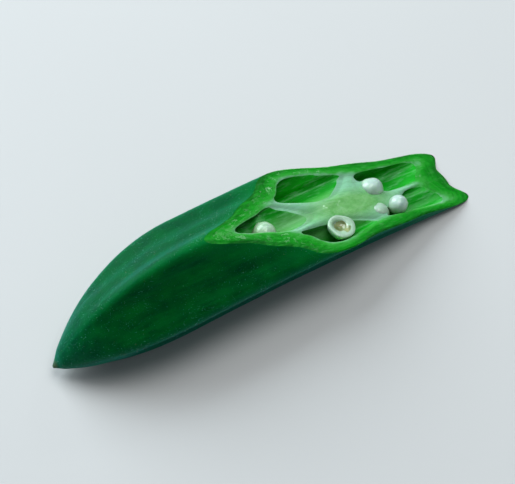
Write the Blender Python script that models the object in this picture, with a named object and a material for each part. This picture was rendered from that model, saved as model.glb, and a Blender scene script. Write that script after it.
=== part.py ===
"""Okra pod: the tip half of one pod, cut through on a long slant, lying on its flat underside.

The pod lies along X with its tip at -X. One of its five ridges is on top, and the knife enters
there and leaves through the underside at +X. Units are metres, +Z is up.
"""

import math

import bmesh
import bpy
from mathutils import Matrix, Vector

# The pod's outside
POD_LENGTH = 0.078
RIDGES = 5
RIDGE_RADIUS = 0.0098
FACET_SINK = 0.21
RIDGE_SHARPNESS = 2.5
TAPER_LENGTH = 0.0275
TAPER_POWER = 2.35
TIP_RADIUS = 0.0005
NOSE_LENGTH = 0.0015
NOSE_START = 0.35
TIP_ROUNDING_LENGTH = 0.018
END_NARROWING = 0.04
TIP_LIFT = 0.0022
TIP_LIFT_LENGTH = 0.020
TIP_SWEEP = 0.005
TIP_SWEEP_POWER = 2.4
REST_FLAT_DEPTH = 0.00012

# The slanting cut, which leaves the far edge of the underside a little before the near one
CUT_START = 0.030
CUT_END_FAR = 0.0757
CUT_END_NEAR = 0.0780
UNDERSIDE_HALF_WIDTH = 0.0055
CUT_OVERRUN = 0.006

# The inside, whose core lies a little to the near side of the middle
WALL = 0.0019
PARTITION = 0.00115
CORE_RADIUS = 0.0025
CORE_SHOULDER = 1.25
CORE_SHIFT = 0.0009
SHOULDER_TURN = 0.9
CHAMBER_START = 0.010
CHAMBER_START_SIZE = 0.25
CHAMBER_GROWTH_LENGTH = 0.012
CHAMBER_CORNER = 0.90

# The seeds: each row has its own last seed, at the cut, and the others follow towards the tip
SEED_RADIUS = 0.00195
SEED_LENGTHENING = 1.05
SEED_PITCH = 0.0046
SEED_CENTRE_RADIUS = 0.0040
FIRST_SEED = 0.0155
LAST_SEEDS = (0.0400, 0.0405, 0.0617, 0.0646, 0.0528)
LAST_SEED_SIZES = (1.0, 1.0, 1.06, 0.86, 1.18)
GAPS_BEFORE_LAST = (0.0, 0.0, 0.0, -0.0006, 0.0050)
SEED_FULL_SIZE_AT = 0.028
SMALLEST_SEED = 0.55
CUT_SEED_ROW = 4
CUT_SEED_HOLLOW = 0.60
CUT_SEED_PROUD = 0.0001

# Fineness of the solid, whose stations crowd towards the tip
SIDES_PER_RIDGE = 10
SKIN_STATIONS = 28
SKIN_CROWDING = 1.5
CHAMBER_STATIONS = 16
CHAMBER_CROWDING = 1.4
CHAMBER_ARC_POINTS = 8
SEED_SIDES = 8
SEED_RINGS = 6
CUTTER_SIZE = 3.0 * POD_LENGTH
SHARP_EDGE_DEG = 35.0

SKIN_COLOUR = (0.012, 0.150, 0.022, 1.0)
SKIN_ROUGHNESS = 0.38


def smooth_step(value):
    value = min(max(value, 0.0), 1.0)
    return value * value * (3.0 - 2.0 * value)


def ridge_radius(s):
    """Distance from the axis to a ridge, at the distance s from the tip."""
    t = min(max(s / TAPER_LENGTH, 0.0), 1.0)
    swell = 1.0 - (1.0 - t) ** TAPER_POWER
    narrowing = 1.0 - END_NARROWING * smooth_step((s - TAPER_LENGTH) / (POD_LENGTH - TAPER_LENGTH))
    nose = NOSE_START + (1.0 - NOSE_START) * math.sqrt(min(s / NOSE_LENGTH, 1.0))
    return (RIDGE_RADIUS * swell * narrowing + TIP_RADIUS * (1.0 - t)) * nose


def skin_radius(s, angle):
    """Distance from the axis to the skin, at an angle from the top ridge."""
    sink = FACET_SINK * smooth_step(s / TIP_ROUNDING_LENGTH)
    ridge_share = (0.5 + 0.5 * math.cos(RIDGES * angle)) ** RIDGE_SHARPNESS
    return ridge_radius(s) * (1.0 - sink * (1.0 - ridge_share))


def ring_angles():
    sides = RIDGES * SIDES_PER_RIDGE
    return [2.0 * math.pi * j / sides for j in range(sides)]


def axis_point(s):
    """The pod's centre line: its underside stays straight, and its tip sweeps aside and lifts."""
    underside = max(-skin_radius(s, angle) * math.cos(angle) for angle in ring_angles())
    lift = TIP_LIFT * max(0.0, 1.0 - s / TIP_LIFT_LENGTH) ** 2
    sweep = -TIP_SWEEP * max(0.0, 1.0 - s / POD_LENGTH) ** TIP_SWEEP_POWER
    return Vector((s, sweep, underside - REST_FLAT_DEPTH + lift))


def at(s, radius, angle):
    """A point given by its distance from the tip, its distance from the axis and its angle from the top."""
    return axis_point(s) + Vector((0.0, radius * math.sin(angle), radius * math.cos(angle)))


def loft(name, rings):
    """A closed solid through rings of points, each ring capped at the ends."""
    bm = bmesh.new()
    rows = [[bm.verts.new(point) for point in ring] for ring in rings]
    for low, high in zip(rows, rows[1:]):
        for i, corner in enumerate(low):
            j = (i + 1) % len(low)
            bm.faces.new((corner, low[j], high[j], high[i]))
    bm.faces.new(rows[0][::-1])
    bm.faces.new(rows[-1])
    bmesh.ops.recalc_face_normals(bm, faces=bm.faces)
    mesh = bpy.data.meshes.new(name)
    bm.to_mesh(mesh)
    bm.free()
    return bpy.data.objects.new(name, mesh)


def make_skin():
    length = POD_LENGTH + CUT_OVERRUN
    rings = []
    for i in range(SKIN_STATIONS + 1):
        s = length * (i / SKIN_STATIONS) ** SKIN_CROWDING
        rings.append([at(s, skin_radius(s, angle), angle) for angle in ring_angles()])
    return loft("skin", rings)


def chamber_ring(s, ridge_angle, size):
    """The outline of one seed chamber: an arc under the wall and a point at the core."""
    share = ridge_radius(s) / RIDGE_RADIUS
    half_sector = math.pi / RIDGES
    core = CORE_RADIUS * share
    outer_turn = half_sector - math.asin(0.5 * PARTITION / ridge_radius(s))
    inner_turn = half_sector - math.asin(0.5 * PARTITION * share / core)
    last = CHAMBER_ARC_POINTS - 1
    outline = []
    for j in range(CHAMBER_ARC_POINTS):
        turn = outer_turn * (2.0 * j / last - 1.0)
        corner = CHAMBER_CORNER if j in (0, last) else 1.0
        outline.append(((skin_radius(s, turn) - WALL * share) * corner, turn))
    shoulder = CORE_SHOULDER * core
    outline += [(shoulder, SHOULDER_TURN * inner_turn), (core, 0.0), (shoulder, -SHOULDER_TURN * inner_turn)]
    points = [at(s, radius, ridge_angle + turn) for radius, turn in outline]
    for point in points[CHAMBER_ARC_POINTS:]:
        point.y -= CORE_SHIFT * share
    middle = sum(points, Vector()) / len(points)
    return [middle + (point - middle) * size for point in points]


def ridge_angle_of(index):
    return 2.0 * math.pi * index / RIDGES


def make_chamber(index):
    end = POD_LENGTH + 2.0 * CUT_OVERRUN
    rings = []
    for i in range(CHAMBER_STATIONS + 1):
        s = CHAMBER_START + (end - CHAMBER_START) * (i / CHAMBER_STATIONS) ** CHAMBER_CROWDING
        grown = smooth_step((s - CHAMBER_START) / CHAMBER_GROWTH_LENGTH)
        size = CHAMBER_START_SIZE + (1.0 - CHAMBER_START_SIZE) * grown
        rings.append(chamber_ring(s, ridge_angle_of(index), size))
    return loft(f"chamber_{index + 1}", rings)


def cut_plane():
    """A point on the knife's plane and the plane's normal, which points up and away from the tip."""
    enters = at(CUT_START, skin_radius(CUT_START, 0.0), 0.0)
    leaves_near = Vector((CUT_END_NEAR, -UNDERSIDE_HALF_WIDTH, 0.0))
    leaves_far = Vector((CUT_END_FAR, UNDERSIDE_HALF_WIDTH, 0.0))
    normal = (leaves_near - enters).cross(leaves_far - enters).normalized()
    return enters, normal


def half_space(name, point, normal):
    """A cube on one side of a plane, for cutting with."""
    bpy.ops.mesh.primitive_cube_add(size=CUTTER_SIZE)
    cutter = bpy.context.object
    cutter.name = name
    turn = normal.to_track_quat("Z", "Y").to_matrix().to_4x4()
    cutter.matrix_world = Matrix.Translation(point + normal * CUTTER_SIZE / 2.0) @ turn
    return cutter


def make_seed(number, s, ridge_angle, size):
    """One round ball, a little longer along the pod, with its inner side sunk in the core."""
    bm = bmesh.new()
    bmesh.ops.create_uvsphere(bm, u_segments=SEED_SIDES, v_segments=SEED_RINGS, radius=SEED_RADIUS * size)
    stretch = Matrix.Diagonal((1.0, 1.0, SEED_LENGTHENING, 1.0))
    lie_down = Matrix.Rotation(math.pi / 2.0, 4, "Y")
    bmesh.ops.transform(bm, matrix=lie_down @ stretch, verts=bm.verts)
    mesh = bpy.data.meshes.new("seed")
    bm.to_mesh(mesh)
    bm.free()
    seed = bpy.data.objects.new(f"seed_{number}", mesh)
    share = ridge_radius(s) / RIDGE_RADIUS
    seed.location = at(s, SEED_CENTRE_RADIUS * share, ridge_angle) - Vector((0.0, CORE_SHIFT * share, 0.0))
    return seed


def make_seeds(collection):
    """Five rows of seeds, one in each chamber, from the cut back to near the tip."""
    seeds = []
    for index, last in enumerate(LAST_SEEDS):
        gap = GAPS_BEFORE_LAST[index]
        growth = LAST_SEED_SIZES[index]
        s = last
        while s > FIRST_SEED:
            grown = SMALLEST_SEED + (1.0 - SMALLEST_SEED) * smooth_step(s / SEED_FULL_SIZE_AT)
            size = growth * grown
            seed = make_seed(len(seeds) + 1, s, ridge_angle_of(index), size)
            if index == CUT_SEED_ROW and s == last:
                open_seed(seed, collection)
            seeds.append(seed)
            s -= SEED_PITCH * grown + gap
            gap = 0.0
            growth = 1.0
    return seeds


def open_seed(seed, collection):
    """Cuts through one seed at the knife's plane, which shows the hollow in it."""
    collection.objects.link(seed)
    growth = LAST_SEED_SIZES[CUT_SEED_ROW]
    hollow = make_seed(0, LAST_SEEDS[CUT_SEED_ROW], ridge_angle_of(CUT_SEED_ROW), growth * CUT_SEED_HOLLOW)
    enters, normal = cut_plane()
    knife = half_space("seed_knife", enters + normal * CUT_SEED_PROUD, normal)
    combine(seed, "DIFFERENCE", [hollow, knife])


def combine(target, operation, objects):
    """Applies one Boolean of several objects to the target, then removes them."""
    group = bpy.data.collections.new(f"{operation.lower()}_group")
    bpy.context.scene.collection.children.link(group)
    for item in objects:
        for holder in list(item.users_collection):
            holder.objects.unlink(item)
        group.objects.link(item)
    modifier = target.modifiers.new(operation, "BOOLEAN")
    modifier.operation = operation
    modifier.operand_type = "COLLECTION"
    modifier.collection = group
    bpy.context.view_layer.update()
    graph = bpy.context.evaluated_depsgraph_get()
    result = bpy.data.meshes.new_from_object(target.evaluated_get(graph))
    target.modifiers.clear()
    target.data = result
    for item in objects:
        bpy.data.objects.remove(item)
    bpy.data.collections.remove(group)


def skin_material():
    material = bpy.data.materials.new("okra_flesh")
    material.use_nodes = True
    shader = material.node_tree.nodes["Principled BSDF"]
    shader.inputs["Base Color"].default_value = SKIN_COLOUR
    shader.inputs["Roughness"].default_value = SKIN_ROUGHNESS
    shader.inputs["Metallic"].default_value = 0.0
    return material


def centre_on_origin(pod):
    """Moves the mesh so that its box is centred on X and Y, and its underside is at zero."""
    corners = [Vector(corner) for corner in pod.bound_box]
    low = Vector(map(min, *corners))
    high = Vector(map(max, *corners))
    middle = (low + high) / 2.0
    pod.data.transform(Matrix.Translation((-middle.x, -middle.y, -low.z)))


def make_pod(collection):
    pod = make_skin()
    pod.name = "okra_pod"
    collection.objects.link(pod)
    combine(pod, "DIFFERENCE", [make_chamber(index) for index in range(RIDGES)])
    knife = half_space("knife", *cut_plane())
    board = half_space("board", Vector((0.0, 0.0, 0.0)), Vector((0.0, 0.0, -1.0)))
    combine(pod, "DIFFERENCE", [knife])
    combine(pod, "UNION", make_seeds(collection))
    combine(pod, "DIFFERENCE", [board])
    centre_on_origin(pod)
    pod.data.materials.clear()
    pod.data.materials.append(skin_material())
    pod.data.shade_smooth()
    pod.data.set_sharp_from_angle(angle=math.radians(SHARP_EDGE_DEG))
    return pod


def main():
    for item in list(bpy.data.objects):
        bpy.data.objects.remove(item)
    collection = bpy.data.collections.new("Okra pod")
    bpy.context.scene.collection.children.link(collection)
    make_pod(collection)


main()
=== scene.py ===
"""Looks for the okra pod: a fine skin, a wet cut face, lined seed chambers, seeds and skin hairs."""

import math
import random

import bmesh
import bpy
import numpy as np
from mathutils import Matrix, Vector, noise

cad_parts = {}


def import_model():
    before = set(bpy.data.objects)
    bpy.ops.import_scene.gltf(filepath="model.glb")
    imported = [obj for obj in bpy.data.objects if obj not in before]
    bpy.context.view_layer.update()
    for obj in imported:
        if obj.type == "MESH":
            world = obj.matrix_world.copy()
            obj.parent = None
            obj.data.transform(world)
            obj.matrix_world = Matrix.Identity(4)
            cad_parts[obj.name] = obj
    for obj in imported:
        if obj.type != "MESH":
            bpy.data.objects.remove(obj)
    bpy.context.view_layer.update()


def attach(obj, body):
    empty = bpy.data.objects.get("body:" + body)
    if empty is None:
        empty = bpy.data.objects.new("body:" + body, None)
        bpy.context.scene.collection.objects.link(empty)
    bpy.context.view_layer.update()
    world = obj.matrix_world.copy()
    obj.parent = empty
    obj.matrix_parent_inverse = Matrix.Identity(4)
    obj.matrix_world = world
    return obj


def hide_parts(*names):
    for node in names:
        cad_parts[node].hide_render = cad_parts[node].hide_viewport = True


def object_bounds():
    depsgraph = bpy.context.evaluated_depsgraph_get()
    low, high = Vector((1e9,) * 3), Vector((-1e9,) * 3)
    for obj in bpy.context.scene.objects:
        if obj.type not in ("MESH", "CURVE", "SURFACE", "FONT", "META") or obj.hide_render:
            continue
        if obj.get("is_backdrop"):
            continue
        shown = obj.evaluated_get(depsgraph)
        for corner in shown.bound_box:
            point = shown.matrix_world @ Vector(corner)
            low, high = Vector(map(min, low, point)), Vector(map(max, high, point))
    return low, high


MM = 0.001

# The pod's outside, in metres, as in the part
POD_LENGTH = 0.078
RIDGES = 5
RIDGE_RADIUS = 0.0098
FACET_SINK = 0.21
RIDGE_SHARPNESS = 2.5
TAPER_LENGTH = 0.0275
TAPER_POWER = 2.35
TIP_RADIUS = 0.0005
NOSE_LENGTH = 0.0015
NOSE_START = 0.35
TIP_ROUNDING_LENGTH = 0.018
END_NARROWING = 0.04
TIP_LIFT = 0.0022
TIP_LIFT_LENGTH = 0.020
TIP_SWEEP = 0.005
TIP_SWEEP_POWER = 2.4
REST_FLAT_DEPTH = 0.00012
SUPPORT_SIDES = 50

# The slanting cut, which leaves the far edge of the underside a little before the near one
CUT_START = 0.030
CUT_END_FAR = 0.0757
CUT_END_NEAR = 0.0780
UNDERSIDE_HALF_WIDTH = 0.0055
CUT_OVERRUN = 0.006

# The wall, the partitions between the chambers, the core, and the chambers' start near the tip
WALL = 0.0019
PARTITION = 0.00115
CORE_RADIUS = 0.0025
CORE_SHOULDER = 1.25
CORE_SHIFT = 0.0009
SHOULDER_TURN = 0.9
CHAMBER_START = 0.010
CHAMBER_START_SIZE = 0.25
CHAMBER_GROWTH_LENGTH = 0.012
CHAMBER_CORNER = 0.90

# The seeds, one row in each chamber, placed from the cut back towards the tip
SEED_RADIUS = 0.00195
SEED_LENGTHENING = 1.05
SEED_PITCH = 0.0046
SEED_CENTRE_RADIUS = 0.0040
FIRST_SEED = 0.0155
LAST_SEEDS = (0.0400, 0.0405, 0.0617, 0.0646, 0.0528)
LAST_SEED_SIZES = (1.0, 1.0, 1.06, 0.86, 1.18)
GAPS_BEFORE_LAST = (0.0, 0.0, 0.0, -0.0006, 0.0050)
SEED_FULL_SIZE_AT = 0.028
SMALLEST_SEED = 0.55
CUT_SEED_ROW = 4

# The flesh swells round each seed, and a seed is a little uneven, with a stalk's scar
CUSHION_HEIGHT = 0.0015
CUSHION_LENGTH = 0.0020
SEED_UNEVENNESS = 0.06
STALK_SCAR_DEPTH = 0.10
STALK_SCAR_SIZE = 0.02
FINE_SEED_DEPTH = 0.005
FINE_SEED = (36, 24)
COARSE_SEED = (14, 9)

# The opened seed: its size at the cut, the hollow in it and the hollow's place, which is off centre
CUT_SEED_SIDES = 40
CUT_SEED_STRETCH = 1.08
COAT_RINGS = 12
COAT_RIM = ((0.97, 0.10, 0.0), (0.86, 0.16, 0.1), (0.72, 0.10, 0.4))
KERNEL_RINGS = 8
KERNEL_SHARE = 0.52
KERNEL_DEPTH = 0.60
KERNEL_SHIFT_MM = (-0.34, 0.26)
HOLLOW_REACH = 1.02
HOLLOW_FLOOR = 0.62

# Fineness of the skin, the chambers and the knife's surface
SKIN_SIDES = 200
SKIN_STATIONS = 150
SKIN_CROWDING = 1.5
CHAMBER_ARC_POINTS = 12
CHAMBER_STATIONS = 90
CHAMBER_CROWDING = 1.2
CORNER_CUT = 0.25
KNIFE_STEP = 0.00018
KNIFE_HALF_WIDTH = 0.0112
KNIFE_MARGIN = 0.006
KNIFE_HEIGHT = 0.03
SHARP_EDGE_DEG = 50.0

# Relief: for each layer its height in millimetres, its stretch along each axis and its seed
SKIN_SWELL = ((0.07, (90.0, 160.0, 160.0), 3.0), (0.030, (260.0, 900.0, 900.0), 8.0))
SKIN_SWELL_STARTS = 0.010
LINING_RELIEF = ((0.08, (180.0, 700.0, 700.0), 0.0), (0.03, (500.0, 2200.0, 2200.0), 5.0))
KNIFE_WAVES = (
    (0.07, (140.0, 220.0, 220.0), 2.0),
    (0.035, (700.0, 1100.0, 1100.0), 6.0),
    (0.018, (2300.0, 3000.0, 3000.0), 9.0),
)

# How far the cut face drops at the skin, at each chamber and over the partitions, and how wide, in mm
RIM_DROP = 0.16
RIM_WIDTH = 0.40
LIP_DROP = 0.13
LIP_WIDTH = 0.38
MEMBRANE_DROP = 0.36
MEMBRANE_WIDTH = 1.1
MEMBRANE_STARTS = 1.9

# The skin's hairs, their clearance of the cut and the floor, and how they gather and lean
HAIR_COUNT = 5200
HAIR_LENGTH_MM = (0.10, 0.26)
HAIR_WIDTH_MM = (0.016, 0.028)
HAIR_ROOT_MM = 0.03
HAIRS_START = 0.0005
HAIRS_UNDER_CUT = 0.00025
HAIRS_OVER_FLOOR = 0.00035
HAIRS_OFF_RIDGES = 0.45
HAIRS_ON_RIDGES = 0.55
HAIR_PATCH_SCALE = 220.0
HAIR_PATCH_MEAN = 0.55
HAIR_PATCH_SWING = 0.9
HAIR_LEAN = (-0.25, 0.0, 0.0)
HAIR_SPREAD = 0.35
SLOPE_STEP = 0.0001
SLOPE_TURN = 0.01
SPIKE_FACES = ((0, 1, 3), (1, 2, 3), (2, 0, 3), (2, 1, 0))

# What the wet materials share
WATER_IOR = 1.36
GREEN_GLOSS = (0.25, 1.0, 0.5, 1.0)

# The studio: each light has a place, a size, a power and a colour, and faces the origin
FLOOR_SIZE = 6.0
FLOOR_DROP_MM = 0.02
WORLD_COLOUR = (0.80, 0.90, 1.0, 1.0)
WORLD_STRENGTH = 0.20
LIGHTS = {
    "window": ((-0.22, 0.62, 0.42), 0.70, 10.0, (0.84, 0.94, 1.0)),
    "overhead": ((0.20, 0.12, 0.75), 0.45, 3.5, (0.97, 0.99, 1.0)),
    "glint": ((0.50, 0.36, 0.40), 0.06, 0.20, (0.85, 0.98, 1.0)),
}

# The camera, at the photograph's viewing angle
PHOTO_ELEVATION = 64.0
PHOTO_AZIMUTH = -25.0
CAMERA_DISTANCE = 0.305
CAMERA_LENS = 128.0
CAMERA_SENSOR = 36.0
CAMERA_CLIP = 0.01


def smooth_step(value):
    value = np.clip(value, 0.0, 1.0)
    return value * value * (3.0 - 2.0 * value)


def ridge_radius(s):
    """Distance from the axis to a ridge, at the distance s from the tip."""
    t = np.clip(s / TAPER_LENGTH, 0.0, 1.0)
    swell = 1.0 - (1.0 - t) ** TAPER_POWER
    narrowing = 1.0 - END_NARROWING * smooth_step((s - TAPER_LENGTH) / (POD_LENGTH - TAPER_LENGTH))
    nose = NOSE_START + (1.0 - NOSE_START) * np.sqrt(np.clip(s / NOSE_LENGTH, 0.0, 1.0))
    return (RIDGE_RADIUS * swell * narrowing + TIP_RADIUS * (1.0 - t)) * nose


def ridge_angle_of(index):
    return 2.0 * math.pi * index / RIDGES


def ridge_share(angle):
    """1 on a ridge, 0 in the middle of a facet."""
    return (0.5 + 0.5 * np.cos(RIDGES * angle)) ** RIDGE_SHARPNESS


def skin_radius(s, angle):
    """Distance from the axis to the skin, at an angle from the top ridge."""
    sink = FACET_SINK * smooth_step(s / TIP_ROUNDING_LENGTH)
    return ridge_radius(s) * (1.0 - sink * (1.0 - ridge_share(angle)))


def axis_offset(s):
    """How far the pod's centre line is from the X axis, on Y and on Z."""
    s = np.asarray(s, float)
    angles = 2.0 * math.pi * np.arange(SUPPORT_SIDES) / SUPPORT_SIDES
    reach = -skin_radius(s[..., None], angles) * np.cos(angles)
    lift = TIP_LIFT * np.maximum(0.0, 1.0 - s / TIP_LIFT_LENGTH) ** 2
    sweep = -TIP_SWEEP * np.maximum(0.0, 1.0 - s / POD_LENGTH) ** TIP_SWEEP_POWER
    return sweep, reach.max(axis=-1) - REST_FLAT_DEPTH + lift


def at(s, radius, angle):
    """Points given by their distance from the tip, from the axis and their angle from the top."""
    across, up = axis_offset(s)
    along = s + np.zeros_like(radius)
    return np.stack([along, across + radius * np.sin(angle), up + radius * np.cos(angle)], axis=-1)


def pod_place(points):
    """Distance from the tip, distance from the axis and angle from the top, for points in space."""
    s = points[:, 0]
    across, up = axis_offset(s)
    y = points[:, 1] - across
    z = points[:, 2] - up
    return s, np.hypot(y, z), np.arctan2(y, z)


def cut_frame():
    """The knife's plane: the point where it enters, the way down its slope, and its upward normal."""
    enters = Vector(at(CUT_START, skin_radius(CUT_START, 0.0), 0.0))
    leaves_near = Vector((CUT_END_NEAR, -UNDERSIDE_HALF_WIDTH, 0.0))
    leaves_far = Vector((CUT_END_FAR, UNDERSIDE_HALF_WIDTH, 0.0))
    normal = (leaves_near - enters).cross(leaves_far - enters).normalized()
    down = (0.5 * (leaves_near + leaves_far) - enters).normalized()
    return enters, down, normal, (leaves_near - enters).length


def mesh_object(name, points, faces):
    mesh = bpy.data.meshes.new(name)
    mesh.from_pydata([tuple(point) for point in points], [], faces)
    mesh.update()
    mesh.shade_smooth()
    item = bpy.data.objects.new(name, mesh)
    bpy.context.scene.collection.objects.link(item)
    return item


def grid_faces(rows, columns, wrap):
    """Quads between neighbouring rows of points, closed round each row if it wraps."""
    faces = []
    for i in range(rows - 1):
        for j in range(columns if wrap else columns - 1):
            k = (j + 1) % columns
            faces.append((i * columns + j, i * columns + k, (i + 1) * columns + k, (i + 1) * columns + j))
    return faces


def loft(name, rings):
    """A closed solid through rings of points."""
    rows, columns, _ = rings.shape
    faces = grid_faces(rows, columns, True)
    faces.append(tuple(range(columns))[::-1])
    faces.append(tuple((rows - 1) * columns + j for j in range(columns)))
    item = mesh_object(name, rings.reshape(-1, 3), faces)
    face_outwards(item)
    return item


def face_outwards(item):
    bm = bmesh.new()
    bm.from_mesh(item.data)
    bmesh.ops.recalc_face_normals(bm, faces=bm.faces)
    bm.to_mesh(item.data)
    bm.free()


def soft_noise(points, stretch, seed):
    """Smooth noise from about -1 to 1 at each point, with its own stretch along each axis."""
    shift = Vector((seed, 1.7 * seed, -seed))
    scaled = points * np.asarray(stretch)
    return np.array([noise.noise(Vector(point) + shift) for point in scaled])


def relief(points, layers, shift=0.0):
    """The sum of some layers of noise at each point, in millimetres."""
    return sum(height * soft_noise(points, stretch, seed + shift) for height, stretch, seed in layers)


def fade(distance_mm, width_mm):
    """1 at no distance, and down to 0 over the width."""
    return np.clip(1.0 - distance_mm / width_mm, 0.0, 1.0) ** 2


def make_skin():
    length = POD_LENGTH + CUT_OVERRUN
    stations = length * (np.arange(SKIN_STATIONS + 1) / SKIN_STATIONS) ** SKIN_CROWDING
    angles = 2.0 * math.pi * np.arange(SKIN_SIDES) / SKIN_SIDES
    s = stations[:, None]
    radius = skin_radius(s, angles[None, :])
    rings = at(s, radius, angles[None, :])
    swell = relief(rings.reshape(-1, 3), SKIN_SWELL) * MM
    radius = radius + swell.reshape(radius.shape) * smooth_step(s / SKIN_SWELL_STARTS)
    return loft("pod_flesh", at(s, radius, angles[None, :]))


def chamber_outline(s, index):
    """The outline of one seed chamber across the pod, with rounded corners, from the axis."""
    share = ridge_radius(s) / RIDGE_RADIUS
    half_sector = math.pi / RIDGES
    places = [place for place in SEED_PLACES[index] if not is_cut_seed(place)]
    nearness = max(math.exp(-(((s - place[1]) / CUSHION_LENGTH) ** 2)) for place in places)
    core = (CORE_RADIUS + CUSHION_HEIGHT * nearness) * share
    outer_turn = half_sector - math.asin(0.5 * PARTITION / ridge_radius(s))
    inner_turn = half_sector - math.asin(0.5 * PARTITION * share / core)
    turns = np.linspace(-outer_turn, outer_turn, CHAMBER_ARC_POINTS)
    radii = skin_radius(s, turns) - WALL * share
    radii[[0, -1]] *= CHAMBER_CORNER
    shoulder = CORE_SHOULDER * core
    turns = np.concatenate([turns, [SHOULDER_TURN * inner_turn, 0.0, -SHOULDER_TURN * inner_turn]])
    radii = np.concatenate([radii, [shoulder, core, shoulder]])
    turns = turns + ridge_angle_of(index)
    outline = np.stack([radii * np.sin(turns), radii * np.cos(turns)], axis=1)
    outline[CHAMBER_ARC_POINTS:, 0] -= CORE_SHIFT * share
    for _ in range(2):
        following = np.roll(outline, -1, axis=0)
        near = (1.0 - CORNER_CUT) * outline + CORNER_CUT * following
        far = CORNER_CUT * outline + (1.0 - CORNER_CUT) * following
        outline = np.stack([near, far], axis=1).reshape(-1, 2)
    middle = outline.mean(axis=0)
    grown = smooth_step((s - CHAMBER_START) / CHAMBER_GROWTH_LENGTH)
    return middle + (outline - middle) * (CHAMBER_START_SIZE + (1.0 - CHAMBER_START_SIZE) * grown)


def seed_places(row):
    """The seeds of one row, worked back from its last one: (row, distance from the tip, size, is it last)."""
    places = []
    last = LAST_SEEDS[row]
    gap = GAPS_BEFORE_LAST[row]
    growth = LAST_SEED_SIZES[row]
    s = last
    while s > FIRST_SEED:
        grown = SMALLEST_SEED + (1.0 - SMALLEST_SEED) * float(smooth_step(s / SEED_FULL_SIZE_AT))
        places.append((row, s, growth * grown, s == last))
        s -= SEED_PITCH * grown + gap
        gap = 0.0
        growth = 1.0
    return places


def is_cut_seed(place):
    row, _, _, last = place
    return last and row == CUT_SEED_ROW


SEED_PLACES = [seed_places(row) for row in range(RIDGES)]


def make_chamber(index):
    end = POD_LENGTH + 2.0 * CUT_OVERRUN
    rings = []
    for i in range(CHAMBER_STATIONS + 1):
        s = CHAMBER_START + (end - CHAMBER_START) * (i / CHAMBER_STATIONS) ** CHAMBER_CROWDING
        outline = chamber_outline(s, index)
        across, up = axis_offset(s)
        points = np.column_stack([np.full(len(outline), s), outline[:, 0] + across, outline[:, 1] + up])
        away = outline - outline.mean(axis=0)
        away = away / np.linalg.norm(away, axis=1, keepdims=True)
        points[:, 1:] += away * relief(points, LINING_RELIEF, index)[:, None] * MM
        rings.append(points)
    return loft(f"chamber_{index + 1}", np.array(rings))


def inside_distance(points, outline):
    """Distance from points to a closed outline, negative inside it."""
    start = outline[None]
    step = np.roll(outline, -1, axis=0)[None] - start
    offset = points[:, None] - start
    share = np.clip((offset * step).sum(-1) / (step * step).sum(-1), 0.0, 1.0)
    distance = np.linalg.norm(offset - share[..., None] * step, axis=-1).min(axis=1)
    rise = (start[..., 1] > points[:, None, 1]) != (start[..., 1] + step[..., 1] > points[:, None, 1])
    height = np.where(step[..., 1] == 0.0, 1.0, step[..., 1])
    crossing = start[..., 0] + step[..., 0] * (points[:, None, 1] - start[..., 1]) / height
    inside = (rise & (points[:, None, 0] < crossing)).sum(axis=1) % 2 == 1
    return np.where(inside, -distance, distance)


def chamber_distance(s, y, z):
    """Distance from points at one station to the nearest chamber, negative inside it."""
    across, up = axis_offset(s)
    points = np.column_stack([y - across, z - up])
    return np.min([inside_distance(points, chamber_outline(s, i)) for i in range(RIDGES)], axis=0)


def knife_relief(row):
    """How far the knife's face leaves its plane along one row of points, in millimetres."""
    s, radius, angle = pod_place(row)
    depth = (skin_radius(s, angle) - radius) / MM
    gap = chamber_distance(s[0], row[:, 1], row[:, 2]) / MM
    rim = RIM_DROP * fade(depth, RIM_WIDTH)
    lip = LIP_DROP * fade(gap, LIP_WIDTH)
    membrane = MEMBRANE_DROP * fade(gap, MEMBRANE_WIDTH) * smooth_step(depth - MEMBRANE_STARTS)
    return relief(row, KNIFE_WAVES) - rim - lip - membrane


def closed_above(name, rows, lift):
    """A closed solid between rows of points and a flat lid, which is their border lifted."""
    count, columns, _ = rows.shape
    points = rows.reshape(-1, 3)
    faces = grid_faces(count, columns, False)
    border = list(range(columns))
    border += [i * columns + columns - 1 for i in range(1, count)]
    border += [(count - 1) * columns + j for j in range(columns - 2, -1, -1)]
    border += [i * columns for i in range(count - 2, 0, -1)]
    first = len(points)
    for k in range(len(border)):
        m = (k + 1) % len(border)
        faces.append((border[k], border[m], first + m, first + k))
    faces.append(tuple(first + k for k in range(len(border))))
    solid = mesh_object(name, np.concatenate([points, points[border] + lift]), faces)
    face_outwards(solid)
    return solid


def make_knife():
    """What the knife takes away. Its lower face has the fine relief of a cut through soft flesh."""
    enters, down, normal, length = cut_frame()
    across = np.array([0.0, 1.0, -normal.y / normal.z])
    sideways = np.arange(-KNIFE_HALF_WIDTH, KNIFE_HALF_WIDTH, KNIFE_STEP)
    rows = []
    for u in np.arange(-KNIFE_MARGIN, length + KNIFE_MARGIN, KNIFE_STEP):
        row = np.array(enters) + u * np.array(down) + sideways[:, None] * across
        height = knife_relief(row) * MM
        rows.append(row + height[:, None] * np.array(normal))
    return closed_above("knife", np.array(rows), KNIFE_HEIGHT * np.array(normal))


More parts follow.
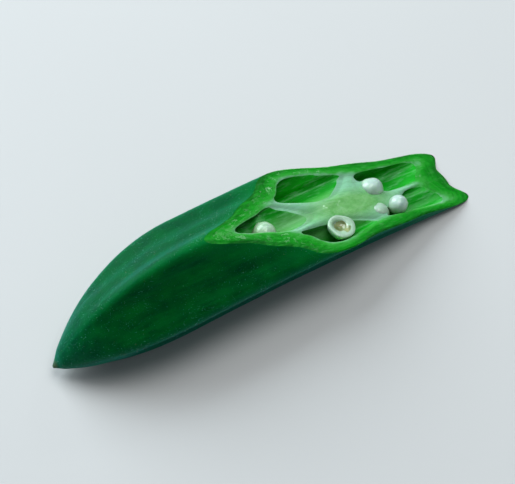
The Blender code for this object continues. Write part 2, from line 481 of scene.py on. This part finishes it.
def subtract(target, cutters):
    """Cuts the cutters out of the target, and gives each new face its cutter's material."""
    group = bpy.data.collections.new("cutters")
    bpy.context.scene.collection.children.link(group)
    for cutter in cutters:
        bpy.context.scene.collection.objects.unlink(cutter)
        group.objects.link(cutter)
    modifier = target.modifiers.new("cut", "BOOLEAN")
    modifier.operation = "DIFFERENCE"
    modifier.solver = "MANIFOLD"
    modifier.operand_type = "COLLECTION"
    modifier.material_mode = "TRANSFER"
    modifier.collection = group
    bpy.context.view_layer.update()
    graph = bpy.context.evaluated_depsgraph_get()
    result = bpy.data.meshes.new_from_object(target.evaluated_get(graph))
    target.modifiers.clear()
    target.data = result
    for cutter in cutters:
        bpy.data.objects.remove(cutter)
    bpy.data.collections.remove(group)


def vertex_points(mesh):
    points = np.empty(len(mesh.vertices) * 3)
    mesh.vertices.foreach_get("co", points)
    return points.reshape(-1, 3)


def write_value(mesh, name, values):
    attribute = mesh.attributes.new(name, "FLOAT", "POINT")
    attribute.data.foreach_set("value", np.asarray(values, np.float32))


def write_vector(mesh, name, values):
    attribute = mesh.attributes.new(name, "FLOAT_VECTOR", "POINT")
    attribute.data.foreach_set("vector", np.asarray(values, np.float32).ravel())


def write_places(mesh):
    """Stores where each point lies: under the skin, from the core, from a ridge, the tip and the cut."""
    s, radius, angle = pod_place(vertex_points(mesh))
    from_core = np.hypot(radius * np.sin(angle) + CORE_SHIFT, radius * np.cos(angle))
    write_value(mesh, "depth_mm", (skin_radius(s, angle) - radius) / MM)
    write_value(mesh, "axis_mm", from_core / MM)
    write_value(mesh, "ridge", ridge_share(angle))
    write_value(mesh, "from_tip_mm", s / MM)
    around = np.column_stack([radius * angle, skin_radius(s, angle) - radius, s])
    write_vector(mesh, "wall_mm", around / MM)
    enters, _, normal, _ = cut_frame()
    above = (vertex_points(mesh) - np.array(enters)) @ np.array(normal)
    write_value(mesh, "below_cut_mm", -above / MM)


def make_flesh(skin, cut, lining):
    flesh = make_skin()
    flesh.data.materials.append(skin)
    chambers = [make_chamber(index) for index in range(RIDGES)]
    for chamber in chambers:
        chamber.data.materials.append(lining)
    knife = make_knife()
    knife.data.materials.append(cut)
    subtract(flesh, chambers + [knife])
    points = vertex_points(flesh.data)
    points[:, 2] = np.maximum(points[:, 2], 0.0)
    flesh.data.vertices.foreach_set("co", points.ravel())
    write_places(flesh.data)
    flesh.data.shade_smooth()
    flesh.data.set_sharp_from_angle(angle=math.radians(SHARP_EDGE_DEG))
    return flesh


def seed_centre(row, s):
    share = float(ridge_radius(s)) / RIDGE_RADIUS
    centre = at(s, SEED_CENTRE_RADIUS * share, ridge_angle_of(row))
    return centre - np.array([0.0, CORE_SHIFT * share, 0.0])


def seed_mesh(centre, size, row, fine, rng):
    """One round seed: a slightly uneven ball with a small scar where its stalk meets it."""
    segments, rings = FINE_SEED if fine else COARSE_SEED
    angle = ridge_angle_of(row)
    inward = np.array([0.0, -math.sin(angle), -math.cos(angle)])
    stretch = np.array([SEED_LENGTHENING, 1.0, 1.0])
    radius = SEED_RADIUS * size
    points = []
    wobble = rng.uniform(0.0, 50.0)
    for i in range(rings + 1):
        polar = math.pi * i / rings
        for j in range(segments):
            turn = 2.0 * math.pi * j / segments
            around = math.sin(polar)
            way = np.array([math.cos(polar), around * math.cos(turn), around * math.sin(turn)])
            bump = noise.noise(Vector(way * 1.6) + Vector((wobble, 0.0, 0.0))) * SEED_UNEVENNESS
            bump -= STALK_SCAR_DEPTH * math.exp(-((1.0 - way @ inward) / STALK_SCAR_SIZE))
            points.append(centre + radius * (1.0 + bump) * way * stretch)
    return np.array(points), grid_faces(rings + 1, segments, True)


def make_seeds(material):
    rng = random.Random(7)
    all_points = []
    all_faces = []
    count = 0
    enters, _, normal, _ = cut_frame()
    for place in sum(SEED_PLACES, []):
        if is_cut_seed(place):
            continue
        row, s, size, _ = place
        centre = seed_centre(row, s)
        near_cut = (centre - np.array(enters)) @ np.array(normal) > -FINE_SEED_DEPTH
        points, faces = seed_mesh(centre, size, row, near_cut, rng)
        all_points.append(points)
        all_faces += [tuple(count + i for i in face) for face in faces]
        count += len(points)
    seeds = mesh_object("seeds", np.concatenate(all_points), all_faces)
    weld_and_face_out(seeds)
    above = (vertex_points(seeds.data) - np.array(enters)) @ np.array(normal)
    write_value(seeds.data, "sunk_mm", -above / MM)
    seeds.data.materials.append(material)
    return seeds


def weld_and_face_out(item):
    """Joins the points that share a place, such as a ball's poles, and turns the faces outwards."""
    bm = bmesh.new()
    bm.from_mesh(item.data)
    bmesh.ops.remove_doubles(bm, verts=bm.verts, dist=0.002 * MM)
    bmesh.ops.recalc_face_normals(bm, faces=bm.faces)
    bm.to_mesh(item.data)
    bm.free()
    item.data.shade_smooth()


def cut_seed_profile(outer, hollow):
    """Points along the opened seed's section: (radius, height over the cut, share of the hollow's shift)."""
    profile = []
    for i in range(COAT_RINGS + 1):
        polar = math.pi * (1.0 - 0.5 * i / COAT_RINGS)
        profile.append((math.sin(polar) * outer, math.cos(polar) * outer, 0.0))
    profile += [(outer * reach, height * MM, slide) for reach, height, slide in COAT_RIM]
    for i in range(KERNEL_RINGS + 1):
        polar = 0.5 * math.pi * i / KERNEL_RINGS
        profile.append((math.cos(polar) * hollow, -math.sin(polar) * hollow * KERNEL_DEPTH, 1.0))
    return profile


def make_cut_seed(coat, kernel):
    """The seed the knife went through: a thick pale coat round a hollow, open at the cut."""
    enters, down, normal, _ = cut_frame()
    centre = Vector(seed_centre(CUT_SEED_ROW, LAST_SEEDS[CUT_SEED_ROW]))
    centre -= normal * (centre - enters).dot(normal)
    side = normal.cross(down)
    outer = SEED_RADIUS * LAST_SEED_SIZES[CUT_SEED_ROW]
    hollow = outer * KERNEL_SHARE
    profile = cut_seed_profile(outer, hollow)
    points = []
    for radius, height, slide in profile:
        shift = (down * KERNEL_SHIFT_MM[0] + side * KERNEL_SHIFT_MM[1]) * (slide * MM)
        for j in range(CUT_SEED_SIDES):
            turn = 2.0 * math.pi * j / CUT_SEED_SIDES
            wave = 1.0 + 0.03 * math.sin(3.0 * turn + 1.0) + 0.02 * math.sin(5.0 * turn)
            flat = down * math.cos(turn) * CUT_SEED_STRETCH + side * math.sin(turn)
            points.append(centre + flat * (radius * wave) + normal * height + shift)
    seed = mesh_object("cut_seed", points, grid_faces(len(profile), CUT_SEED_SIDES, True))
    weld_and_face_out(seed)
    seed.data.materials.append(coat)
    seed.data.materials.append(kernel)
    for face in seed.data.polygons:
        middle = face.center - centre
        level = middle.dot(normal)
        reach = (middle - normal * level).length
        in_hollow = reach < hollow * HOLLOW_REACH and level > -outer * HOLLOW_FLOOR
        face.material_index = 1 if in_hollow else 0
    return seed


def outward(s, angle, root):
    """The direction straight out of the skin at a point on it."""
    ahead = Vector(at(s + SLOPE_STEP, skin_radius(s + SLOPE_STEP, angle), angle)) - root
    beside = Vector(at(s, skin_radius(s, angle + SLOPE_TURN), angle + SLOPE_TURN)) - root
    out = ahead.cross(beside).normalized()
    if out.z * math.cos(angle) + out.y * math.sin(angle) < 0.0:
        out = -out
    return out


def spike(root, way, length, width):
    """The four points of a thin three-sided spike."""
    first = way.orthogonal().normalized()
    second = way.cross(first)
    turns = [2.0 * math.pi * k / 3 for k in range(3)]
    foot = [root + (first * math.cos(turn) + second * math.sin(turn)) * width for turn in turns]
    return foot + [root + way * length]


def make_hairs(material):
    """Short fine hairs all over the skin, in patches and thicker on the ridges."""
    rng = random.Random(11)
    enters, _, normal, _ = cut_frame()
    points = []
    faces = []
    while len(faces) < HAIR_COUNT * len(SPIKE_FACES):
        s = rng.uniform(HAIRS_START, POD_LENGTH)
        angle = rng.uniform(-math.pi, math.pi)
        full = float(ridge_radius(s)) / RIDGE_RADIUS
        if rng.random() > full * (HAIRS_OFF_RIDGES + HAIRS_ON_RIDGES * float(ridge_share(angle))):
            continue
        root = Vector(at(s, skin_radius(s, angle), angle))
        if rng.random() > HAIR_PATCH_MEAN + HAIR_PATCH_SWING * noise.noise(root * HAIR_PATCH_SCALE):
            continue
        if (root - enters).dot(normal) > -HAIRS_UNDER_CUT or root.z < HAIRS_OVER_FLOOR:
            continue
        out = outward(s, angle, root)
        lean = [rng.gauss(middle, HAIR_SPREAD) for middle in HAIR_LEAN]
        way = (out + Vector(lean)).normalized()
        length = rng.uniform(*HAIR_LENGTH_MM) * MM
        width = rng.uniform(*HAIR_WIDTH_MM) * MM
        faces += [tuple(len(points) + i for i in face) for face in SPIKE_FACES]
        points += spike(root - out * HAIR_ROOT_MM * MM, way, length, width)
    hairs = mesh_object("skin_hairs", points, faces)
    hairs.data.materials.append(material)
    return hairs


class Shader:
    """A material's node tree, with short ways to add the nodes used here."""

    def __init__(self, name):
        self.material = bpy.data.materials.new(name)
        self.material.use_nodes = True
        self.tree = self.material.node_tree
        self.principled = self.tree.nodes["Principled BSDF"]

    def add(self, kind, **settings):
        node = self.tree.nodes.new(kind)
        for key, value in settings.items():
            setattr(node, key, value)
        return node

    def join(self, output, target):
        self.tree.links.new(output, target)

    def feed(self, socket, item):
        """Joins an output to a socket, or sets the socket to a number or a colour."""
        if isinstance(item, bpy.types.NodeSocket):
            self.join(item, socket)
        else:
            socket.default_value = item if isinstance(item, float) else (*item, 1.0)

    def set(self, name, value):
        self.principled.inputs[name].default_value = value

    def wire(self, name, output):
        self.join(output, self.principled.inputs[name])

    def value(self, name):
        """A number stored on the mesh's points."""
        return self.add("ShaderNodeAttribute", attribute_name=name).outputs["Fac"]

    def place(self, stretch, stored=None):
        """Places in the piece's own space, or along a vector stored on its mesh, stretched on each axis."""
        if stored:
            source = self.add("ShaderNodeAttribute", attribute_name=stored).outputs["Vector"]
        else:
            source = self.add("ShaderNodeTexCoord").outputs["Object"]
        mapping = self.add("ShaderNodeMapping")
        mapping.inputs["Scale"].default_value = stretch
        self.join(source, mapping.inputs["Vector"])
        return mapping.outputs["Vector"]

    def noise(self, stretch, detail=3.0, roughness=0.55, stored=None):
        node = self.add("ShaderNodeTexNoise")
        node.inputs["Scale"].default_value = 1.0
        node.inputs["Detail"].default_value = detail
        node.inputs["Roughness"].default_value = roughness
        self.join(self.place(stretch, stored), node.inputs["Vector"])
        return node.outputs["Fac"]

    def cells(self, scale):
        """Distance to the nearest of many scattered points."""
        node = self.add("ShaderNodeTexVoronoi", feature="F1")
        node.inputs["Scale"].default_value = 1.0
        self.join(self.place((scale, scale, scale)), node.inputs["Vector"])
        return node.outputs["Distance"]

    def ramp(self, factor, stops):
        node = self.add("ShaderNodeValToRGB")
        while len(node.color_ramp.elements) < len(stops):
            node.color_ramp.elements.new(0.5)
        for element, (position, colour) in zip(node.color_ramp.elements, stops):
            element.position = position
            element.color = (*colour, 1.0)
        self.join(factor, node.inputs["Fac"])
        return node.outputs["Color"]

    def mix(self, factor, first, second):
        """The Mix node's factor and its two colour sockets are its numbers 0, 6 and 7."""
        node = self.add("ShaderNodeMix", data_type="RGBA")
        for number, item in ((0, factor), (6, first), (7, second)):
            self.feed(node.inputs[number], item)
        return node.outputs[2]

    def span(self, factor, low, high, to_low=0.0, to_high=1.0):
        """Carries low and high over to two other numbers, and stays between them."""
        node = self.add("ShaderNodeMapRange")
        self.join(factor, node.inputs["Value"])
        for key, item in zip(("From Min", "From Max", "To Min", "To Max"), (low, high, to_low, to_high)):
            node.inputs[key].default_value = item
        return node.outputs["Result"]

    def sum(self, first, second, operation="ADD"):
        node = self.add("ShaderNodeMath", operation=operation)
        self.feed(node.inputs[0], first)
        self.feed(node.inputs[1], second)
        return node.outputs[0]

    def times(self, first, second):
        return self.sum(first, second, "MULTIPLY")

    def bump(self, height, distance):
        node = self.add("ShaderNodeBump")
        node.inputs["Distance"].default_value = distance
        self.join(height, node.inputs["Height"])
        self.wire("Normal", node.outputs["Normal"])

    def flesh(self, weight, radius, scale):
        """Light that goes into the flesh and comes out coloured."""
        self.set("Subsurface Weight", weight)
        self.set("Subsurface Radius", radius)
        self.set("Subsurface Scale", scale)


def skin_material():
    """Dark green skin, lighter on the ridges, with a soft blue-green sheen; a brighter strip close under the
    cut is painted light.
    """
    shader = Shader("okra_skin")
    blotches = shader.noise((260.0, 420.0, 420.0), 4.0)
    base = shader.ramp(blotches, [(0.30, (0.0002, 0.034, 0.0015)), (0.70, (0.0006, 0.074, 0.0035))])
    streaks = shader.noise((150.0, 1500.0, 1500.0))
    base = shader.mix(shader.span(streaks, 0.45, 0.75, 0.0, 0.35), base, (0.001, 0.110, 0.008))
    ridge = shader.span(shader.value("ridge"), 0.80, 1.0, 0.0, 0.30)
    base = shader.mix(ridge, base, (0.002, 0.130, 0.022))
    # Pale teal specks at the hair bases, also raised by the bump below: partly their own pale tone and partly
    # painted glints.
    dots = shader.cells(2300.0)
    base = shader.mix(shader.span(dots, 0.05, 0.17, 0.22, 0.0), base, (0.02, 0.20, 0.09))
    # Painted light: a brighter green strip on the skin close under the cut edge.
    near_cut = shader.span(shader.value("below_cut_mm"), 0.0, 2.6, 0.55, 0.0)
    base = shader.mix(near_cut, base, (0.001, 0.130, 0.010))
    scar = shader.span(shader.value("from_tip_mm"), 0.35, 0.9, 0.85, 0.0)
    base = shader.mix(scar, base, (0.085, 0.070, 0.018))
    shader.wire("Base Color", base)
    shader.set("IOR", 1.15)
    shader.set("Specular Tint", (0.05, 0.85, 0.80, 1.0))
    shader.wire("Roughness", shader.span(blotches, 0.3, 0.7, 0.38, 0.55))
    shader.set("Sheen Weight", 0.45)
    shader.set("Sheen Roughness", 0.50)
    shader.set("Sheen Tint", (0.0, 0.58, 0.56, 1.0))
    height = shader.sum(shader.times(streaks, 0.4), shader.noise((1500.0, 1800.0, 1800.0)))
    height = shader.sum(height, shader.span(dots, 0.0, 0.30, 0.9, 0.0))
    shader.bump(height, 0.00006)
    return shader.material


def cut_material():
    """Cut flesh: strong green under the skin, paler inwards, with strands along the pod and wet patches."""
    shader = Shader("okra_cut_flesh")
    depth = shader.value("depth_mm")
    mottle = shader.noise((500.0, 800.0, 800.0), 4.0)
    broad = shader.noise((90.0, 160.0, 160.0), 2.0)
    shifted = shader.sum(depth, shader.span(mottle, 0.3, 0.7, -0.18, 0.18))
    shifted = shader.sum(shifted, shader.span(broad, 0.3, 0.7, -0.35, 0.45))
    band = shader.ramp(
        shader.span(shifted, 0.0, 3.0),
        [
            (0.03, (0.0008, 0.085, 0.002)),
            (0.14, (0.0010, 0.170, 0.002)),
            (0.36, (0.002, 0.235, 0.003)),
            (0.56, (0.030, 0.300, 0.030)),
            (0.82, (0.200, 0.430, 0.270)),
        ],
    )
    middle = shader.span(shader.value("axis_mm"), 1.6, 3.8, 1.0, 0.0)
    core = shader.ramp(mottle, [(0.3, (0.10, 0.32, 0.075)), (0.7, (0.19, 0.43, 0.16))])
    base = shader.mix(middle, band, core)
    fibres = shader.noise((220.0, 1800.0, 1800.0))
    inner = shader.span(depth, 0.9, 2.4, 0.25, 1.0)
    pale = shader.times(shader.span(fibres, 0.54, 0.80, 0.0, 0.35), inner)
    base = shader.mix(pale, base, (0.30, 0.52, 0.33))
    strands = shader.noise((1.7, 2.6, 0.30), roughness=0.5, stored="wall_mm")
    outer = shader.span(depth, 0.2, 2.6, 0.7, 0.2)
    lighter = shader.times(shader.span(strands, 0.50, 0.70), outer)
    base = shader.mix(lighter, base, (0.020, 0.280, 0.022))
    darker = shader.times(shader.span(strands, 0.48, 0.32), outer)
    base = shader.mix(darker, base, (0.0008, 0.115, 0.002))
    shader.wire("Base Color", base)
    shader.flesh(0.45, (0.7, 1.0, 0.5), 0.0008)
    shader.set("Specular IOR Level", 0.22)
    shader.set("Specular Tint", GREEN_GLOSS)
    shader.wire("Roughness", shader.span(mottle, 0.3, 0.7, 0.30, 0.50))
    wet = shader.noise((260.0, 420.0, 420.0), 2.0)
    shader.wire("Coat Weight", shader.span(wet, 0.52, 0.66, 0.12, 0.60))
    shader.set("Coat Roughness", 0.09)
    shader.set("Coat IOR", WATER_IOR)
    grain = shader.sum(shader.times(strands, 0.5), shader.noise((2200.0, 2200.0, 2200.0)))
    shader.bump(grain, 0.00005)
    return shader.material


def lining_material():
    """The chambers' walls: strong green with pale streaks along the pod, and paler on the core."""
    shader = Shader("okra_chamber_lining")
    broad = shader.noise((160.0, 420.0, 420.0))
    base = shader.ramp(broad, [(0.3, (0.001, 0.200, 0.003)), (0.7, (0.005, 0.350, 0.007))])
    streaks = shader.noise((330.0, 1500.0, 1500.0), 4.0, 0.6)
    base = shader.mix(shader.span(streaks, 0.50, 0.76, 0.0, 0.60), base, (0.17, 0.46, 0.21))
    near_core = shader.span(shader.value("axis_mm"), 2.4, 4.4, 0.85, 0.0)
    base = shader.mix(near_core, base, (0.13, 0.36, 0.12))
    shader.wire("Base Color", base)
    shader.flesh(0.35, (0.6, 1.0, 0.4), 0.0010)
    shader.set("Specular IOR Level", 0.22)
    shader.set("Specular Tint", GREEN_GLOSS)
    shader.set("Roughness", 0.42)
    shader.set("Coat Weight", 0.22)
    shader.set("Coat Roughness", 0.20)
    shader.set("Coat IOR", WATER_IOR)
    shader.bump(shader.sum(streaks, broad), 0.00010)
    return shader.material


def seed_material():
    """Wet white seeds, with painted shade that makes them darker and greener low down in the chambers."""
    shader = Shader("okra_seed")
    clouds = shader.noise((520.0, 520.0, 520.0))
    base = shader.ramp(clouds, [(0.32, (0.30, 0.43, 0.38)), (0.68, (0.44, 0.57, 0.52))])
    # Painted shade: each seed's lower part, deeper under the cut, is made darker and greener, as if lit by
    # green light from the chamber walls.
    painted_chamber_shade = shader.span(shader.value("sunk_mm"), -1.3, 1.4, 0.0, 0.85)
    base = shader.mix(painted_chamber_shade, base, (0.26, 0.47, 0.19))
    shader.wire("Base Color", base)
    shader.flesh(0.8, (1.0, 1.2, 0.8), 0.0018)
    shader.set("Roughness", 0.30)
    shader.set("Coat Weight", 0.6)
    shader.set("Coat Roughness", 0.10)
    shader.set("Coat IOR", WATER_IOR)
    shader.bump(shader.noise((2400.0, 2400.0, 2400.0)), 0.00005)
    return shader.material


def kernel_material():
    """The brown-green inside of the opened seed."""
    shader = Shader("okra_seed_kernel")
    clouds = shader.noise((900.0, 900.0, 900.0))
    base = shader.ramp(clouds, [(0.35, (0.10, 0.15, 0.035)), (0.65, (0.30, 0.36, 0.15))])
    shader.wire("Base Color", base)
    shader.set("Subsurface Weight", 0.4)
    shader.set("Subsurface Scale", 0.0008)
    shader.set("Roughness", 0.3)
    shader.set("Coat Weight", 0.7)
    shader.bump(clouds, 0.00010)
    return shader.material


def hair_material():
    """Hairs that vary from the skin's green to a pale cyan, partly their own pale tone and partly painted
    glints.
    """
    shader = Shader("okra_hair")
    tint = shader.noise((700.0, 700.0, 700.0), 1.0)
    # The pale cyan end of the ramp is partly a painted glint.
    shader.wire("Base Color", shader.ramp(tint, [(0.40, (0.03, 0.24, 0.13)), (0.62, (0.22, 0.70, 0.62))]))
    shader.set("Roughness", 0.35)
    shader.set("Subsurface Weight", 0.2)
    shader.set("Subsurface Scale", 0.0002)
    return shader.material


def floor_material():
    shader = Shader("studio_floor")
    shade = shader.noise((6.0, 6.0, 6.0), 2.0)
    shader.wire("Base Color", shader.ramp(shade, [(0.3, (0.52, 0.52, 0.51)), (0.7, (0.54, 0.54, 0.53))]))
    shader.set("Roughness", 0.7)
    return shader.material


def make_stage():
    bpy.ops.mesh.primitive_plane_add(size=FLOOR_SIZE, location=(0.0, 0.0, -FLOOR_DROP_MM * MM))
    floor = bpy.context.object
    floor.name = "studio_floor"
    floor.data.materials.append(floor_material())
    floor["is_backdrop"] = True
    world = bpy.data.worlds.new("studio")
    world.use_nodes = True
    background = world.node_tree.nodes["Background"]
    background.inputs["Color"].default_value = WORLD_COLOUR
    background.inputs["Strength"].default_value = WORLD_STRENGTH
    bpy.context.scene.world = world
    bpy.context.scene.view_settings.view_transform = "Standard"


def make_lights():
    for name, (place, size, power, colour) in LIGHTS.items():
        data = bpy.data.lights.new(name, "AREA")
        data.energy = power
        data.size = size
        data.color = colour
        light = bpy.data.objects.new(name, data)
        bpy.context.scene.collection.objects.link(light)
        light.location = place
        light.rotation_euler = (-Vector(place)).to_track_quat("-Z", "Y").to_euler()


def make_camera():
    azimuth = math.radians(PHOTO_AZIMUTH)
    elevation = math.radians(PHOTO_ELEVATION)
    back = Vector(
        (
            math.sin(azimuth) * math.cos(elevation),
            -math.cos(azimuth) * math.cos(elevation),
            math.sin(elevation),
        )
    )
    data = bpy.data.cameras.new("camera")
    data.sensor_width = CAMERA_SENSOR
    data.lens = CAMERA_LENS
    data.clip_start = CAMERA_CLIP
    camera = bpy.data.objects.new("camera", data)
    bpy.context.scene.collection.objects.link(camera)
    low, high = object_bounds()
    middle = (Vector(low) + Vector(high)) / 2.0
    camera.location = middle + back * CAMERA_DISTANCE
    camera.rotation_euler = (-back).to_track_quat("-Z", "Y").to_euler()
    bpy.context.scene.camera = camera


def place_pieces(flesh, pieces):
    """Moves the pieces from the pod's own frame to the part's, which has its origin under the middle."""
    points = vertex_points(flesh.data)
    middle = (points.min(axis=0) + points.max(axis=0)) / 2.0
    for piece in pieces:
        piece.location = (-middle[0], -middle[1], 0.0)
        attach(piece, "root")
        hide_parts("okra_pod")


def main():
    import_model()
    flesh = make_flesh(skin_material(), cut_material(), lining_material())
    coat = seed_material()
    pieces = [flesh, make_seeds(coat), make_cut_seed(coat, kernel_material()), make_hairs(hair_material())]
    place_pieces(flesh, pieces)
    make_stage()
    make_lights()
    make_camera()


main()
